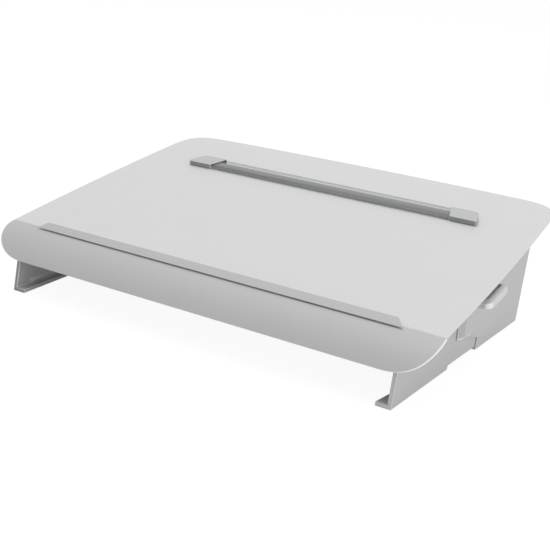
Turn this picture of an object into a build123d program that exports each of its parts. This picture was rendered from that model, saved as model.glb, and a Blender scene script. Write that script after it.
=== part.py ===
"""Sloped desk document holder: a sheet-steel deck on a gliding, tilting carriage, over a low base
with a shallow drawer. X is the width, -Y is the user's side, +Z is up, and the origin is on the
desk under the middle of the whole outline."""

import os
from math import cos, radians, sin, tan

from build123d import *

os.makedirs("parts", exist_ok=True)

# Deck: the crease is the bend between the flat deck and the curved apron in front of it
deck_width = 495.0
deck_depth = 308.6
deck_tilt = 10.74
sheet = 1.2
crease_y = -134.92
crease_z = 64.5
side_bow = 3.2
side_bow_centre = 23.6
side_bow_reach = 150.0
rear_bow = 3.6
rear_bow_reach = 200.0
rear_corner = 50.0
apron_start = 13.0
apron_end = 71.0
apron_bend = 45.8
apron_corner = 49.0
apron_flare = 10.0
apron_thick = 2.4
apron_tongue = 22.0
seam = 0.15

# Side pieces of the base
side_outer = 217.9
side_wall = 4.0
side_inner = side_outer - side_wall
side_drop = 16.0
edge_lean = 0.16
base_z = 0.5
foot_wide = 15.0
foot_thick = 4.0
bracket_front = crease_y - 30.5
bracket_step = crease_y + 85.0
bracket_rear = crease_y + 149.0
step_height = 3.7
cheek_front = crease_y + 151.2
cheek_rear = crease_y + 262.0
cheek_proud = 0.6
arm_front = crease_y + 98.0
arm_proud = 6.1
arm_gap = 0.3
arm_floor = 25.0

# Glide rails, and the carriage that runs in them
rail_front = crease_y - 14.0
rail_rear = crease_y + 245.0
rail_floor = 36.0
rail_height = 13.0
rail_depth = 7.0
rail_sheet = 1.4
arm_plate_x = 202.5
arm_plate = 3.0
arm_plate_floor = 38.0
carriage_drop = 19.0
carriage_front = crease_y + 2.0
carriage_rear = crease_y + 236.0
hinge_y = crease_y + 10.0
hinge_z = 50.0
shaft_radius = 4.0
running_gap = 0.05

# Deck ribs and the tilt stay
rib_x = 196.0
rib_plate = 2.0
stay_y = crease_y + 175.0
stay_z = 88.0
stay_length = 50.0
stay_drop = 10.0
stay_radius = 2.5
stay_x = 186.0

# Screws: one small pan-head size all through
screw_radius = 1.5
head_radius = 2.8
screw_head = 1.2
joint_places = ((112.0, 56.0), (136.0, 60.0))
rail_screw_rows = (20.0, 90.0, 170.0, 235.0)
runner_screw_rows = (84.0, 145.0, 206.0)
bar_screw_rows = (97.0, 107.0)
grip_screw_rows = (97.0, 117.0)
channel_screw_rows = (202.0, 224.0)
panel_screw_heights = (16.0, 50.0)

# Drawer
drawer_half = 195.0
drawer_front_y = crease_y + 64.0
drawer_back_y = crease_y + 246.0
drawer_floor = 6.5
drawer_top = 26.0
drawer_wall = 2.0
lip_z = 21.5
lip_reach = 14.0
runner_sheet = 1.5

# Line guide, measured up the slope from the crease
guide_front = 216.5
guide_depth = 23.0
cap_inner = 150.0
cap_outer = 180.5
cap_skew = 8.0
cap_front_round = 2.0
cap_rear_round = 5.5
cap_height = 5.6
strip_front = 217.0
strip_depth = 23.5
strip_top = 3.4
strip_thick = 2.4
lens_front = 218.3
lens_depth = 14.0
lens_rise = 0.7
lens_bevel = 1.5

slope = tan(radians(deck_tilt))
deck_top = Plane(
    origin=(0, crease_y, crease_z),
    x_dir=(1, 0, 0),
    z_dir=(0, -sin(radians(deck_tilt)), cos(radians(deck_tilt))),
)
deck_profile = Plane(
    origin=(0, crease_y, crease_z),
    x_dir=(0, cos(radians(deck_tilt)), sin(radians(deck_tilt))),
    z_dir=(1, 0, 0),
)
apron_centre = (
    crease_y + apron_bend * sin(radians(apron_start)),
    crease_z - apron_bend * cos(radians(apron_start)),
)
apron_turn = radians(apron_end - apron_start)
apron_length = apron_bend * apron_turn


def deck_z(y, drop=0.0):
    """Height of the deck's top face at y, less a vertical drop."""
    return crease_z + (y - crease_y) * slope - drop


def lean_y(y, z):
    """Place at height z on an edge that leans back and starts at y on the base's lower face."""
    return y + (z - base_z) * edge_lean


def rear_edge(across):
    """Distance up the slope of the deck's rear edge, at a place across the deck."""
    return deck_depth - rear_bow * (across / rear_bow_reach) ** 2


def half_width(along):
    """Half the deck's width at a distance up the slope from the crease."""
    return deck_width / 2 - side_bow * ((along - side_bow_centre) / side_bow_reach) ** 2


def apron_half_width(along):
    """Half the apron's width at a distance down its curve from the crease."""
    corner = max(0.0, along - (apron_length - apron_corner))
    flare = apron_flare * along / apron_length
    return half_width(0) + flare - apron_corner + (apron_corner**2 - corner**2) ** 0.5


def deck_point(along, height):
    """The (y, z) of a place up the slope from the crease, at a height above the deck's top face."""
    tilt = radians(deck_tilt)
    y = crease_y + along * cos(tilt) - height * sin(tilt)
    return (y, crease_z + along * sin(tilt) + height * cos(tilt))


def save(piece, name):
    """Label a finished piece and write it."""
    piece.part.label = name
    export_step(piece.part, f"parts/{name}.step")


def save_pair(piece, name):
    """Write a right-hand piece, and its mirror image as the left-hand one."""
    save(piece, f"{name}_right")
    with BuildPart() as twin:
        mirror(piece.part, about=Plane.YZ)
    save(twin, f"{name}_left")


def block(low, high, mode=Mode.ADD):
    """A plain block between two corners."""
    size = [b - a for a, b in zip(low, high)]
    middle = [(a + b) / 2 for a, b in zip(low, high)]
    with Locations(tuple(middle)):
        Box(*size, mode=mode)


def bore_x(points, radius, length):
    """Round holes along X, centred on the points."""
    with Locations(*points):
        Cylinder(radius, length, rotation=(0, 90, 0), mode=Mode.SUBTRACT)


def rod_x(points, radius, length):
    """Round bars along X, centred on the points."""
    with Locations(*points):
        Cylinder(radius, length, rotation=(0, 90, 0))


def screw_x(tip, seat, y, z):
    """A pan-head screw along X, from its tip to the face that its head sits on."""
    outward = 1 if seat > tip else -1
    rod_x([((tip + seat) / 2, y, z)], screw_radius, abs(seat - tip))
    rod_x([(seat + outward * screw_head / 2, y, z)], head_radius, screw_head)


# ---------------------------------------------------------------- deck

chord_angle = radians((apron_start + apron_end) / 2)
apron_chord = Plane(
    origin=(0, crease_y, crease_z),
    x_dir=(1, 0, 0),
    z_dir=(0, -sin(chord_angle), cos(chord_angle)),
)
apron_drop = 2 * apron_bend * sin(apron_turn / 2)
apron_steps = 8
apron_edge = []
for step in range(apron_steps + 1):
    along = apron_length * step / apron_steps
    fall = apron_bend * (sin(apron_turn / 2) - sin(apron_turn / 2 - along / apron_bend))
    apron_edge.append((apron_half_width(along), -fall))

with BuildPart() as front_apron:
    with BuildSketch(Plane.YZ):
        with BuildLine():
            apron_sweep = apron_end - apron_start
            outer = CenterArc(apron_centre, apron_bend, 90 + apron_start, apron_sweep)
            inner = CenterArc(apron_centre, apron_bend - apron_thick, 90 + apron_start, apron_sweep)
            Line(outer @ 0, inner @ 0)
            Line(outer @ 1, inner @ 1)
        make_face()
    extrude(amount=deck_width / 2 + 10.0, both=True)
    with BuildSketch(apron_chord):
        with BuildLine():
            edge = Spline(*apron_edge)
            Polyline((0, 4.0), (apron_edge[0][0], 4.0), edge @ 0)
            Polyline(edge @ 1, (apron_edge[-1][0], -apron_drop - 4.0), (0, -apron_drop - 4.0))
            mirror(about=Plane.YZ)
        make_face()
    extrude(amount=60.0, both=True, mode=Mode.INTERSECT)
    with BuildSketch(deck_top.offset(-sheet)) as tongue_plan:
        with Locations((0, apron_tongue / 2 - 1.0)):
            Rectangle(deck_width - 12.0, apron_tongue + 2.0)
        fillet(tongue_plan.vertices().group_by(Axis.Y)[-1], 6.0)
    extrude(amount=-apron_thick + 0.2)
save(front_apron, "front_apron")

corner_along = deck_depth - rear_corner
corner_across = half_width(corner_along) - rear_corner
side_points = [(half_width(along), along) for along in (seam, 85.0, 170.0, corner_along)]
rear_points = [(across, rear_edge(across)) for across in (0.0, corner_across / 2, corner_across)]

with BuildPart() as deck_panel:
    with BuildSketch(deck_top):
        with BuildLine():
            Line((0, seam), side_points[0])
            side = Spline(*side_points)
            rear = Spline(*rear_points, tangents=((1, 0), (1, -0.04)))
            Spline(side @ 1, rear @ 1, tangents=(side % 1, -(rear % 1)), tangent_scalars=(1.65, 1.65))
            mirror(about=Plane.YZ)
        make_face()
    extrude(amount=-sheet)
save(deck_panel, "deck_panel")

# Paper ledge: a wedge along the crease, its blade hanging just over the apron
ledge_half = 209.0
ledge_rear_half = 200.5
ledge_round = 4.0
ledge_front = -4.8
ledge_back = 4.0
ledge_section = [
    (ledge_front, 1.4),
    (2.8, 5.0),
    (ledge_back, 5.0),
    (ledge_back, 0.0),
    (0.6, 0.0),
    (0.6, 2.0),
    (ledge_front + 0.4, 0.8),
]

with BuildPart() as paper_ledge:
    with BuildSketch(deck_profile):
        with BuildLine():
            Polyline(*ledge_section, close=True)
        make_face()
    extrude(amount=ledge_half, both=True)
    with BuildSketch(deck_top) as ledge_plan:
        with BuildLine():
            Polyline(
                (-ledge_half, ledge_front),
                (ledge_half, ledge_front),
                (ledge_rear_half, ledge_back),
                (-ledge_rear_half, ledge_back),
                close=True,
            )
        make_face()
        fillet(ledge_plan.vertices().group_by(Axis.Y)[-1], ledge_round)
    extrude(amount=12.0, both=True, mode=Mode.INTERSECT)
save(paper_ledge, "paper_ledge")

# Side grips: tabs that stand out under the deck's edges, for lifting it to another height; their
# sizes are here because the ribs carry their screws
grip_top = -8.0
grip_thick = 5.4
grip_floor = 2.4
grip_corner = 6.5
grip_plate = 2.0
grip_screw_level = -5.1
grip_front = 83.6
grip_rear = 128.0
grip_outer = 251.6
pocket_front = 94.0
pocket_rear = 126.4
pocket_inner = 206.0
pocket_outer = 244.4

# Deck ribs: L-sections bonded under the deck, with ears for the hinge shaft and the stay
rib_flange = 18.0
rib_drop = 14.0
rib_nose = 2.0
rib_start = 24.0
rib_step = 3.8
rib_end = 286.0
ear_radius = 9.0
bush_radius = 6.0
bush_bore = shaft_radius + running_gap
stay_hole = stay_radius + running_gap

with BuildPart() as deck_rib:
    with BuildSketch(deck_profile.offset(rib_x - rib_plate)):
        with BuildLine():
            Polyline(
                (rib_nose, -rib_step),
                (rib_start, -rib_step),
                (rib_start, -sheet),
                (rib_end, -sheet),
                (rib_end, -6.0),
                (rib_end - 12.0, -rib_drop),
                (rib_nose, -rib_drop),
                close=True,
            )
        make_face()
    extrude(amount=rib_plate)
    with BuildSketch(Plane.YZ.offset(rib_x - rib_plate)):
        with Locations((hinge_y, hinge_z)):
            Circle(ear_radius)
        with Locations((hinge_y, hinge_z + ear_radius / 2)):
            Rectangle(2 * ear_radius, ear_radius)
        with Locations((stay_y, stay_z)):
            Circle(ear_radius - 2.0)
    extrude(amount=rib_plate)
    with BuildSketch(deck_profile.offset(rib_x - rib_flange)):
        with Locations(((rib_start + rib_end) / 2, -sheet - rib_plate / 2)):
            Rectangle(rib_end - rib_start, rib_plate)
    extrude(amount=rib_flange)
    bore_x([(rib_x, hinge_y, hinge_z)], bush_radius, 3 * rib_plate)
    bore_x([(rib_x, stay_y, stay_z)], stay_hole, 3 * rib_plate)
    grip_screw_holes = [(rib_x, *deck_point(along, grip_screw_level)) for along in grip_screw_rows]
    bore_x(grip_screw_holes, screw_radius, 3 * rib_plate)
save_pair(deck_rib, "deck_rib")

with BuildPart() as hinge_bushes:
    for side in (-1, 1):
        middle = side * (rib_x - rib_plate / 2)
        rod_x([(middle, hinge_y, hinge_z)], bush_radius, rib_plate)
        for collar in (-1, 1):
            place = middle + collar * (rib_plate / 2 + 0.6)
            rod_x([(place, hinge_y, hinge_z)], bush_radius + 1.8, 1.2)
        bore_x([(middle, hinge_y, hinge_z)], bush_bore, 4 * rib_plate)
save(hinge_bushes, "hinge_bushes")

# Cross stiffeners under the deck: a T-section in front and an L-section at the rear
stiff_front = 30.0
stiff_web = 43.5
stiff_back = 58.0
stiff_rear = 258.0
stiff_sheet = 1.5
stiff_skin = -sheet - stiff_sheet
stiff_low = -sheet - 9.0
stiff_half = rib_x - rib_flange - 0.5
with BuildPart() as front_stiffener:
    with BuildSketch(deck_profile):
        with BuildLine():
            Polyline(
                (stiff_front, -sheet),
                (stiff_back, -sheet),
                (stiff_back, stiff_skin),
                (stiff_web + stiff_sheet, stiff_skin),
                (stiff_web + stiff_sheet, stiff_low),
                (stiff_web, stiff_low),
                (stiff_web, stiff_skin),
                (stiff_front, stiff_skin),
                close=True,
            )
        make_face()
    extrude(amount=stiff_half, both=True)
save(front_stiffener, "front_stiffener")

with BuildPart() as rear_stiffener:
    with BuildSketch(deck_profile):
        with BuildLine():
            Polyline(
                (stiff_rear, -sheet),
                (rib_end, -sheet),
                (rib_end, stiff_low),
                (rib_end - stiff_sheet, stiff_low),
                (rib_end - stiff_sheet, stiff_skin),
                (stiff_rear, stiff_skin),
                close=True,
            )
        make_face()
    extrude(amount=stiff_half, both=True)
save(rear_stiffener, "rear_stiffener")

with BuildPart() as side_grip:
    with BuildSketch(deck_top.offset(grip_top)) as grip_plan:
        with BuildLine():
            Polyline(
                (rib_x, grip_front),
                (grip_outer, grip_front),
                (grip_outer, grip_rear),
                (rib_x, grip_rear),
                close=True,
            )
        make_face()
        fillet(grip_plan.vertices().group_by(Axis.X)[-1], grip_corner)
    extrude(amount=-grip_thick)
    with BuildSketch(deck_top.offset(grip_top)) as pocket_plan:
        with Locations(((pocket_inner + pocket_outer) / 2, (pocket_front + pocket_rear) / 2)):
            Rectangle(pocket_outer - pocket_inner, pocket_rear - pocket_front)
        fillet(pocket_plan.vertices(), 1.0)
    extrude(amount=grip_floor - grip_thick, mode=Mode.SUBTRACT)
    with BuildSketch(deck_profile.offset(rib_x)):
        with Locations(((grip_front + grip_rear) / 2, grip_top - 0.5)):
            Rectangle(grip_rear - grip_front, 10.0)
    extrude(amount=grip_plate)
    outer_rounds = side_grip.edges().filter_by(GeomType.CIRCLE).group_by(Axis.X)[-1]
    fillet(outer_rounds, 1.4)
    bore_x(grip_screw_holes, screw_radius, 6.0)
save_pair(side_grip, "side_grip")

with BuildPart() as grip_screws:
    for side in (-1, 1):
        for _, y, z in grip_screw_holes:
            screw_x(side * (rib_x - rib_plate - 2.0), side * (rib_x + grip_plate), y, z)
save(grip_screws, "grip_screws")

# ---------------------------------------------------------------- line guide


def skewed(across, along):
    """Place across the deck, on an edge that leans inwards towards the rear."""
    return across - cap_skew * (along - guide_front) / guide_depth


tenon_front = guide_front + 2.5
tenon_rear = guide_front + guide_depth - 2.5
tenon_reach = 8.0
cap_gap = 0.15
pad_thick = 0.5
magnet_x = cap_outer - 11.5
magnet_radius = 4.95
guide_middle = guide_front + guide_depth / 2

with BuildPart() as guide_cap:
    with BuildSketch(deck_top.offset(pad_thick)) as cap_plan:
        with BuildLine():
            Polyline(
                (cap_inner, guide_front),
                (cap_outer, guide_front),
                (cap_outer - cap_skew, guide_front + guide_depth),
                (cap_inner - cap_skew, guide_front + guide_depth),
                close=True,
            )
        make_face()
        fillet(cap_plan.vertices().group_by(Axis.Y)[-1].sort_by(Axis.X)[-1], cap_rear_round)
        fillet(cap_plan.vertices().group_by(Axis.Y)[0], cap_front_round)
    extrude(amount=cap_height - pad_thick)
    with BuildSketch(deck_top.offset(strip_top - strip_thick - cap_gap)):
        with BuildLine():
            Polyline(
                (skewed(cap_inner, tenon_front) - 4.0, tenon_front - cap_gap),
                (skewed(cap_inner, tenon_front) + tenon_reach + 1.0, tenon_front - cap_gap),
                (skewed(cap_inner, tenon_rear) + tenon_reach + 1.0, tenon_rear + cap_gap),
                (skewed(cap_inner, tenon_rear) - 4.0, tenon_rear + cap_gap),
                close=True,
            )
        make_face()
    extrude(amount=strip_thick + 2 * cap_gap, mode=Mode.SUBTRACT)
    with BuildSketch(deck_top.offset(pad_thick)):
        with Locations((magnet_x, guide_middle)):
            Circle(magnet_radius + 0.05)
    extrude(amount=2.5, mode=Mode.SUBTRACT)
save_pair(guide_cap, "guide_cap")

with BuildPart() as guide_pads:
    with BuildSketch(deck_top.offset(0.05)):
        for side in (-1, 1):
            with Locations((side * (cap_outer - 16.0), guide_middle)):
                RectangleRounded(17.0, 17.0, 2.0)
    extrude(amount=pad_thick - 0.05)
save(guide_pads, "guide_pads")

with BuildPart() as guide_magnets:
    with BuildSketch(deck_top.offset(pad_thick)):
        with Locations((magnet_x, guide_middle), (-magnet_x, guide_middle)):
            Circle(magnet_radius)
    extrude(amount=2.4)
save(guide_magnets, "guide_magnets")

with BuildPart() as guide_strip:
    with BuildSketch(deck_top.offset(strip_top - strip_thick)):
        with BuildLine():
            strip_rear = strip_front + strip_depth
            Polyline(
                (0, strip_front),
                (skewed(cap_inner, strip_front) - cap_gap, strip_front),
                (skewed(cap_inner, tenon_front) - cap_gap, tenon_front),
                (skewed(cap_inner, tenon_front) + tenon_reach, tenon_front),
                (skewed(cap_inner, tenon_rear) + tenon_reach, tenon_rear),
                (skewed(cap_inner, tenon_rear) - cap_gap, tenon_rear),
                (skewed(cap_inner, strip_rear) - cap_gap, strip_rear),
                (0, strip_rear),
            )
            mirror(about=Plane.YZ)
        make_face()
    extrude(amount=strip_thick)
save(guide_strip, "guide_strip")

# The tinted bar: flat on top with bevelled long edges, its ends cut to the caps' slant
lens_rear = lens_front + lens_depth
with BuildPart() as guide_lens:
    with BuildSketch(deck_profile):
        with BuildLine():
            Polyline(
                (lens_front, strip_top),
                (lens_front + lens_bevel, strip_top + lens_rise),
                (lens_rear - lens_bevel, strip_top + lens_rise),
                (lens_rear, strip_top),
                close=True,
            )
        make_face()
    extrude(amount=cap_inner, both=True)
    with BuildSketch(deck_top.offset(strip_top)):
        with BuildLine():
            Polyline(
                (0, lens_front - 1.0),
                (skewed(cap_inner, lens_front - 1.0) - 0.4, lens_front - 1.0),
                (skewed(cap_inner, lens_rear + 1.0) - 0.4, lens_rear + 1.0),
                (0, lens_rear + 1.0),
            )
            mirror(about=Plane.YZ)
        make_face()
    extrude(amount=2 * lens_rise, mode=Mode.INTERSECT)
save(guide_lens, "guide_lens")

# ---------------------------------------------------------------- base sides

bar_front = crease_y + 90.0
bar_rear = crease_y + 114.0
bar_z = 28.5
bar_sheet = 1.5
bar_top = bar_z + 5.5
lug_reach = 9.5
lug_thick = 4.0
wall_bite = 2.6
spine_front = crease_y - 11.0
spine_low = 6.4
spine_climb = 3.6
spine_thick = 2.2
bracket_round = 10.0
rail_screw_z = rail_floor + rail_height / 2
runner_top = lip_z - 0.4
runner_screw_z = runner_top - 5.2


def wall_screw_holes(rows, z):
    """Places on a side wall's inner face, at distances back from the crease."""
    return [(side_inner, crease_y + y, z) for y in rows]


with BuildPart() as bracket:
    with BuildSketch(Plane.YZ.offset(side_inner)) as bracket_side:
        with BuildLine():
            front_high = deck_z(bracket_front + 7.0, side_drop)
            rear_high = deck_z(bracket_rear + 12.5, side_drop)
            Polyline(
                (bracket_front, base_z),
                (bracket_step, base_z),
                (bracket_step + 1.5, base_z + step_height),
                (bracket_rear, base_z + step_height),
                (lean_y(bracket_rear, rear_high), rear_high),
                (lean_y(bracket_front, front_high), front_high),
                close=True,
            )
        make_face()
        front_points = bracket_side.vertices().sort_by(Axis.X)[0:2]
        fillet(front_points.sort_by(Axis.Y)[-1], bracket_round)
    extrude(amount=side_wall)
    with BuildSketch(Plane.XY.offset(base_z)):
        with BuildLine():
            Polyline(
                (side_inner + 1.0, bracket_front),
                (side_outer - foot_wide, bracket_front),
                (side_inner, bracket_step + 3.0),
                (side_inner + 1.0, bracket_step + 3.0),
                close=True,
            )
        make_face()
    extrude(amount=foot_thick)
    with BuildSketch(Plane.YZ.offset(side_inner - spine_thick)):
        with BuildLine():
            Polyline(
                (spine_front, spine_low),
                (spine_front, spine_low + spine_thick),
                (bracket_step, spine_low + spine_thick + spine_climb),
                (bracket_step, spine_low + spine_climb),
                close=True,
            )
        make_face()
    extrude(amount=spine_thick + 0.1)
    lug_low = (side_inner - lug_reach, bar_front + 3.0, bar_z - lug_thick)
    block(lug_low, (side_inner + 1.0, bar_rear - 3.0, bar_z))
    bore_x([(side_inner, crease_y + y, z) for y, z in joint_places], screw_radius, 12.0)
    bore_x(wall_screw_holes(rail_screw_rows[:2], rail_screw_z), screw_radius, wall_bite * 2)
    bore_x(wall_screw_holes(runner_screw_rows[:2], runner_screw_z), screw_radius, wall_bite * 2)
    with Locations(*[(side_inner - lug_reach / 2, crease_y + y, bar_z) for y in bar_screw_rows]):
        Cylinder(screw_radius, 2 * lug_thick - 2.0, mode=Mode.SUBTRACT)
save_pair(bracket, "front_bracket")

tab_wide = 16.0
tab_thick = 3.0
tab_top = 66.0
cheek_nose = 82.0
arm_in = side_outer + arm_gap
arm_out = side_outer + arm_proud + arm_gap
arm_shapes = (
    (arm_front, arm_in + 0.8, arm_floor + 0.4, 1.6),
    (arm_front + 6.5, arm_out, arm_floor, 3.5),
    (arm_front + 17.0, arm_out, arm_floor, 3.5),
    (cheek_front, arm_out - 2.2, arm_floor - 11.0, 16.0),
    (cheek_front + 52.0, side_outer + 0.4, 8.0, 16.0),
)
arm_sections = []
for y, reach, low, bevel in arm_shapes:
    top = deck_z(y, side_drop)
    rim = arm_in + 0.25 * (reach - arm_in)
    outline = [(arm_in, low), (rim, low), (reach, low + bevel), (reach, top), (arm_in, top)]
    arm_sections.append((y, outline))

with BuildPart() as cheek:
    with BuildSketch(Plane.YZ.offset(side_inner)):
        with BuildLine():
            cheek_top = deck_z(cheek_rear + 14.0, side_drop)
            nose_y = lean_y(cheek_front, cheek_nose)
            Polyline(
                (cheek_front, base_z),
                (cheek_rear, base_z),
                (lean_y(cheek_rear, cheek_top), cheek_top),
                (nose_y, deck_z(nose_y, side_drop)),
                close=True,
            )
        make_face()
    extrude(amount=side_wall + cheek_proud)
    for section in arm_sections:
        with BuildSketch(Plane.XZ.offset(-section[0])):
            with BuildLine():
                Polyline(*section[1], close=True)
            make_face()
    loft(ruled=True)
    foot_low = (side_outer - foot_wide, cheek_front + 46.0, base_z)
    block(foot_low, (side_inner + 1.0, cheek_rear - 2.0, base_z + foot_thick))
    with BuildSketch(Plane.YZ.offset(side_inner - tab_wide)):
        with BuildLine():
            Polyline(
                (cheek_rear - tab_thick, base_z),
                (cheek_rear, base_z),
                (lean_y(cheek_rear, tab_top), tab_top),
                (lean_y(cheek_rear, tab_top) - tab_thick, tab_top),
                close=True,
            )
        make_face()
    extrude(amount=tab_wide + 1.0)
    bore_x([(side_outer, crease_y + y, z) for y, z in joint_places], screw_radius, 8.0)
    bore_x(wall_screw_holes(rail_screw_rows[2:], rail_screw_z), screw_radius, wall_bite * 2)
    bore_x(wall_screw_holes(runner_screw_rows[2:], runner_screw_z), screw_radius, wall_bite * 2)
    panel_screw_places = []
    for z in panel_screw_heights:
        panel_screw_places.append((side_inner - tab_wide / 2, lean_y(cheek_rear - tab_thick, z), z))
    with Locations(*panel_screw_places):
        Cylinder(screw_radius, 4.4, rotation=(90, 0, 0), mode=Mode.SUBTRACT)
save_pair(cheek, "rear_cheek")

with BuildPart() as joint_screws:
    for side in (-1, 1):
        for y, z in joint_places:
            screw_x(side * (side_outer + 3.8), side * side_inner, crease_y + y, z)
save(joint_screws, "side_joint_screws")

# Rear panel, leaning like the cheeks' rear edges, with two cable openings
panel_top = 64.0
panel_low = base_z + 4.0
panel_half = side_inner - 0.3
panel_sheet = 2.0
panel_fold = 12.0
panel_back = cheek_rear - tab_thick
slot_x = 120.0
slot_z = 44.0
slot_wide = 90.0
slot_high = 16.0
with BuildPart() as rear_panel:
    with BuildSketch(Plane.YZ):
        with BuildLine():
            skin = panel_top - panel_sheet
            Polyline(
                (lean_y(panel_back - panel_sheet, panel_low), panel_low),
                (lean_y(panel_back, panel_low), panel_low),
                (lean_y(panel_back, panel_top), panel_top),
                (lean_y(panel_back - panel_fold, panel_top), panel_top),
                (lean_y(panel_back - panel_fold, skin), skin),
                (lean_y(panel_back - panel_sheet, skin), skin),
                close=True,
            )
        make_face()
    extrude(amount=panel_half, both=True)
    with BuildSketch(Plane.XZ.offset(-cheek_rear)):
        with Locations((-slot_x, slot_z), (slot_x, slot_z)):
            SlotOverall(slot_wide, slot_high)
    extrude(amount=30.0, both=True, mode=Mode.SUBTRACT)
    with Locations(*[(side * x, y, z) for side in (-1, 1) for x, y, z in panel_screw_places]):
        Cylinder(screw_radius, 12.0, rotation=(90, 0, 0), mode=Mode.SUBTRACT)
save(rear_panel, "rear_panel")

with BuildPart() as panel_screws:
    for side in (-1, 1):
        for x, y, z in panel_screw_places:
            seat = y - panel_sheet - 0.5
            with Locations((side * x, (seat + y + 2.2) / 2, z)):
                Cylinder(screw_radius, y + 2.2 - seat, rotation=(90, 0, 0))
            with Locations((side * x, seat - screw_head / 2, z)):
                Cylinder(head_radius, screw_head, rotation=(90, 0, 0))
save(panel_screws, "panel_screws")

# Cross bar between the brackets, over the drawer and under the carriage
with BuildPart() as front_crossbar:
    with BuildSketch(Plane.YZ):
        with BuildLine():
            Polyline(
                (bar_front, bar_z),
                (bar_front + bar_sheet, bar_z),
                (bar_front + bar_sheet, bar_top - bar_sheet),
                (bar_rear - bar_sheet, bar_top - bar_sheet),
                (bar_rear - bar_sheet, bar_z),
                (bar_rear, bar_z),
                (bar_rear, bar_top),
                (bar_front, bar_top),
                close=True,
            )
        make_face()
    extrude(amount=side_inner, both=True)
    bar_screw_places = []
    for side in (-1, 1):
        for y in bar_screw_rows:
            bar_screw_places.append((side * (side_inner - lug_reach / 2), crease_y + y, bar_z))
    with Locations(*bar_screw_places):
        Cylinder(screw_radius, 20.0, mode=Mode.SUBTRACT)
save(front_crossbar, "front_crossbar")

with BuildPart() as crossbar_screws:
    for x, y, _ in bar_screw_places:
        with Locations((x, y, (bar_z - 2.0 + bar_top) / 2)):
            Cylinder(screw_radius, bar_top - bar_z + 2.0)
        with Locations((x, y, bar_top + screw_head / 2)):
            Cylinder(head_radius, screw_head)
save(crossbar_screws, "crossbar_screws")

# Glide rails: channels on the side walls, open to the middle
with BuildPart() as rail:
    with BuildSketch(Plane.XZ.offset(-rail_front)):
        with Locations((side_inner - rail_depth / 2, rail_floor + rail_height / 2)):
            Rectangle(rail_depth, rail_height)
        with Locations((side_inner - rail_depth / 2 - rail_sheet, rail_floor + rail_height / 2)):
            Rectangle(rail_depth, rail_height - 2 * rail_sheet, mode=Mode.SUBTRACT)
    extrude(amount=-(rail_rear - rail_front))
    bore_x(wall_screw_holes(rail_screw_rows, rail_screw_z), screw_radius, 10.0)
save_pair(rail, "glide_rail")

# Drawer runners: angles that the drawer's lips slide on
runner_front = crease_y + 70.0
runner_rear = crease_y + 248.0
runner_web = 8.0
with BuildPart() as runner:
    with BuildSketch(Plane.XZ.offset(-runner_front)):
        with BuildLine():
            Polyline(
                (side_inner, runner_top - runner_web),
                (side_inner, runner_top),
                (drawer_half + 3.5, runner_top),
                (drawer_half + 3.5, runner_top - runner_sheet),
                (side_inner - runner_sheet, runner_top - runner_sheet),
                (side_inner - runner_sheet, runner_top - runner_web),
                close=True,
            )
        make_face()
    extrude(amount=-(runner_rear - runner_front))
    bore_x(wall_screw_holes(runner_screw_rows, runner_screw_z), screw_radius, 10.0)
save_pair(runner, "drawer_runner")

with BuildPart() as rail_screws:
    for side in (-1, 1):
        for y in rail_screw_rows:
            seat = side_inner - rail_sheet
            screw_x(side * (side_inner + wall_bite), side * seat, crease_y + y, rail_screw_z)
        for y in runner_screw_rows:
            seat = side_inner - runner_sheet
            screw_x(side * (side_inner + wall_bite), side * seat, crease_y + y, runner_screw_z)
save(rail_screws, "rail_screws")

with BuildPart() as rubber_feet:
    for side in (-1, 1):
        for y in (bracket_front + 14.0, cheek_rear - 16.0):
            with Locations((side * (side_inner - 3.4), y, base_z / 2)):
                Cylinder(5.0, base_z)
save(rubber_feet, "rubber_feet")

# ---------------------------------------------------------------- carriage

bumper_tab = 84.0
tab_sheet = 2.0
bumper_y = crease_y + 224.0
bumper_radius = 4.5
bumper_top = deck_z(bumper_y - bumper_radius, (rib_drop + 0.3) / cos(radians(deck_tilt)))
channel_front = crease_y + 194.0
channel_rear = crease_y + 232.0
channel_top = 68.0
channel_low = channel_top - 14.0
channel_sheet = 1.5
channel_screw_z = channel_top - 8.0
block_rows = (122.0, 222.0)
block_long = 20.0
block_play = 0.6

with BuildPart() as carriage_arm:
    with BuildSketch(Plane.YZ.offset(arm_plate_x)):
        with BuildLine():
            Polyline(
                (carriage_front, arm_plate_floor),
                (carriage_rear, arm_plate_floor),
                (carriage_rear, deck_z(carriage_rear, carriage_drop)),
                (hinge_y, deck_z(hinge_y, carriage_drop)),
                (carriage_front, 46.0),
                close=True,
            )
        make_face()
        with Locations((hinge_y, hinge_z)):
            Circle(ear_radius)
    extrude(amount=arm_plate)
    tab_low = (rib_x - 6.0, bumper_y - 8.0, bumper_tab - tab_sheet)
    block(tab_low, (arm_plate_x + 1.0, bumper_y + 8.0, bumper_tab))
    bore_x([(arm_plate_x, hinge_y, hinge_z)], shaft_radius, 10.0)
    channel_screw_holes = [(arm_plate_x, crease_y + y, channel_screw_z) for y in channel_screw_rows]
    bore_x(channel_screw_holes, screw_radius, 10.0)
save_pair(carriage_arm, "carriage_arm")

with BuildPart() as hinge_shaft:
    rod_x([(0, hinge_y, hinge_z)], shaft_radius, 2 * (arm_plate_x + arm_plate + 1.0))
save(hinge_shaft, "hinge_shaft")

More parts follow.
